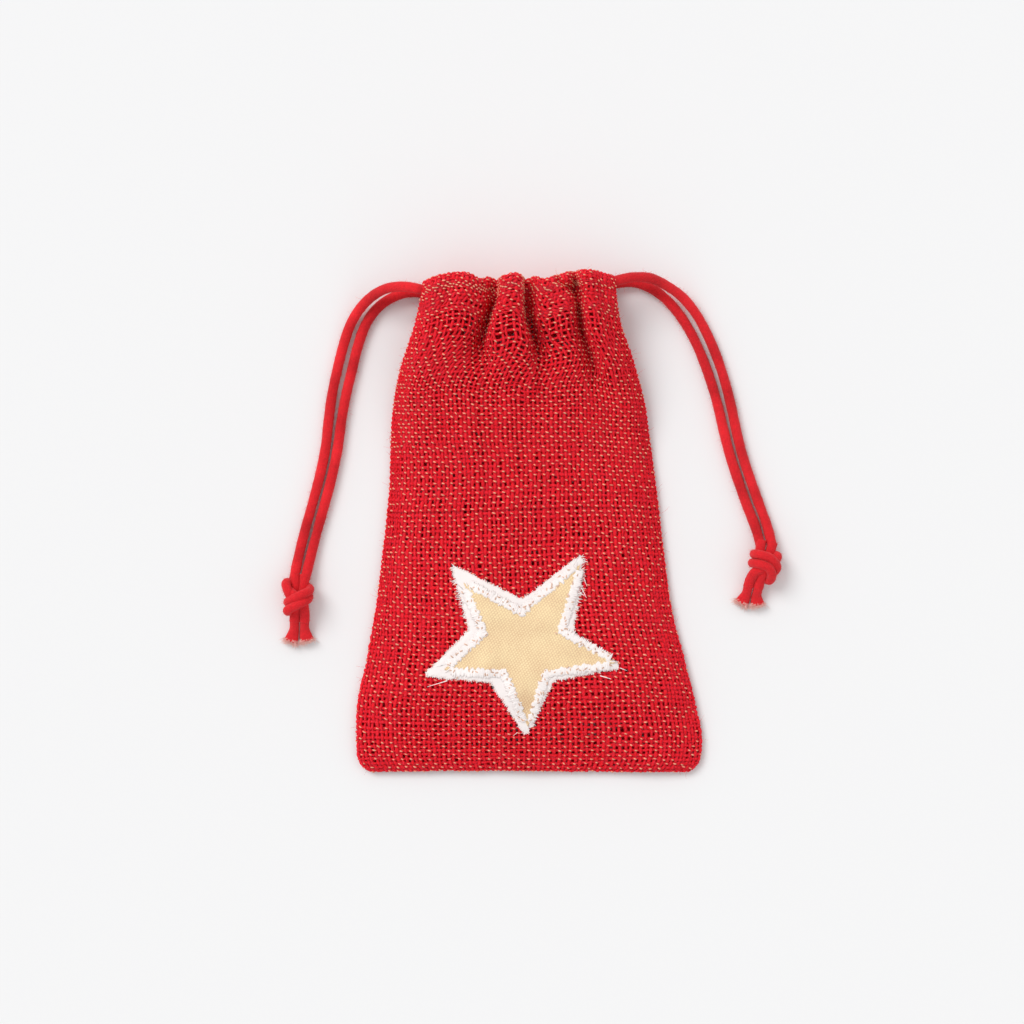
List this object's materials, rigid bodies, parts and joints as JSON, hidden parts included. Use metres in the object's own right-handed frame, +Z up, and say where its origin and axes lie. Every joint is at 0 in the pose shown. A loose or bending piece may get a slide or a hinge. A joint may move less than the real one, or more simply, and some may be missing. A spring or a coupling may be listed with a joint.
{
  "type": "drawstring gift sack",
  "caption": "Coarse-woven cloth sack with a drawcord mouth, knotted cord ends on both sides and a star patch on the front.",
  "frame": {"origin": "middle of the sack's footprint on the surface it lies on, without the free cord ends", "axes": "+Y towards the mouth, along the sack's length; +X to the right as the front is seen; +Z up through the front, which carries the star"},
  "size_m": [0.1491, 0.15, 0.0162],
  "materials": {
    "sack_cloth": "coarse plain weave, bright red, with fine gold dashes",
    "red_thread": "fine matt sewing thread, red",
    "drawcord": "soft cotton cord, red, slightly fuzzy",
    "white_cotton": "frayed white cotton",
    "white_thread": "white sewing thread",
    "gold_cloth": "fine gold cloth with a soft metallic sheen"
  },
  "bodies": {
    "sack": {"back_panel": "sack_cloth", "front_panel": "sack_cloth", "left_side_seam": "sack_cloth", "right_side_seam": "sack_cloth", "bottom_seam": "sack_cloth", "front_casing": "sack_cloth", "back_casing": "sack_cloth", "front_casing_stitching": "red_thread", "back_casing_stitching": "red_thread", "star_backing": "white_cotton", "star_face": "gold_cloth", "star_stitching": "white_thread"},
    "left_mouth_end": {"left_seam_head": "sack_cloth"},
    "right_mouth_end": {"right_seam_head": "sack_cloth"},
    "left_drawcord": {"left_cord_front_run": "drawcord", "left_cord_back_run": "drawcord", "left_cord_far_bend": "drawcord"},
    "left_cord_end": {"left_cord_upper_strand": "drawcord", "left_cord_lower_strand": "drawcord", "left_knot": "drawcord", "left_tail_outer": "drawcord", "left_tail_inner": "drawcord"},
    "right_drawcord": {"right_cord_front_run": "drawcord", "right_cord_back_run": "drawcord", "right_cord_far_bend": "drawcord"},
    "right_cord_end": {"right_cord_upper_strand": "drawcord", "right_cord_lower_strand": "drawcord", "right_knot": "drawcord", "right_tail_outer": "drawcord", "right_tail_inner": "drawcord"}
  },
  "joints": [
    {"name": "left_drawcord_pull", "type": "slide", "parent": "sack", "child": "left_drawcord", "axis": [-1, 0, 0], "range_m": [0, 0.012], "deforming": ["left_cord_far_bend"]},
    {"name": "right_drawcord_pull", "type": "slide", "parent": "sack", "child": "right_drawcord", "axis": [1, 0, 0], "range_m": [0, 0.012], "deforming": ["right_cord_far_bend"]},
    {"name": "left_mouth_gather", "type": "slide", "parent": "sack", "child": "left_mouth_end", "axis": [1, 0, 0], "range_m": [0, 0.012]},
    {"name": "right_mouth_gather", "type": "slide", "parent": "sack", "child": "right_mouth_end", "axis": [-1, 0, 0], "range_m": [0, 0.012]},
    {"name": "left_cord_swing", "type": "hinge", "parent": "left_drawcord", "child": "left_cord_end", "pos_m": [-0.0305, 0.0684, 0.00775], "axis": [0, 0, 1], "range_deg": [-40, 8], "deforming": ["left_cord_upper_strand", "left_cord_lower_strand"]},
    {"name": "right_cord_swing", "type": "hinge", "parent": "right_drawcord", "child": "right_cord_end", "pos_m": [0.0251, 0.0718, 0.00775], "axis": [0, 0, -1], "range_deg": [-40, 8], "deforming": ["right_cord_upper_strand", "right_cord_lower_strand"]}
  ],
  "couplings": [
    {"joint": "right_drawcord_pull", "follows": "left_drawcord_pull", "ratio": 1},
    {"joint": "left_mouth_gather", "follows": "left_drawcord_pull", "ratio": 1},
    {"joint": "right_mouth_gather", "follows": "left_drawcord_pull", "ratio": 1}
  ]
}
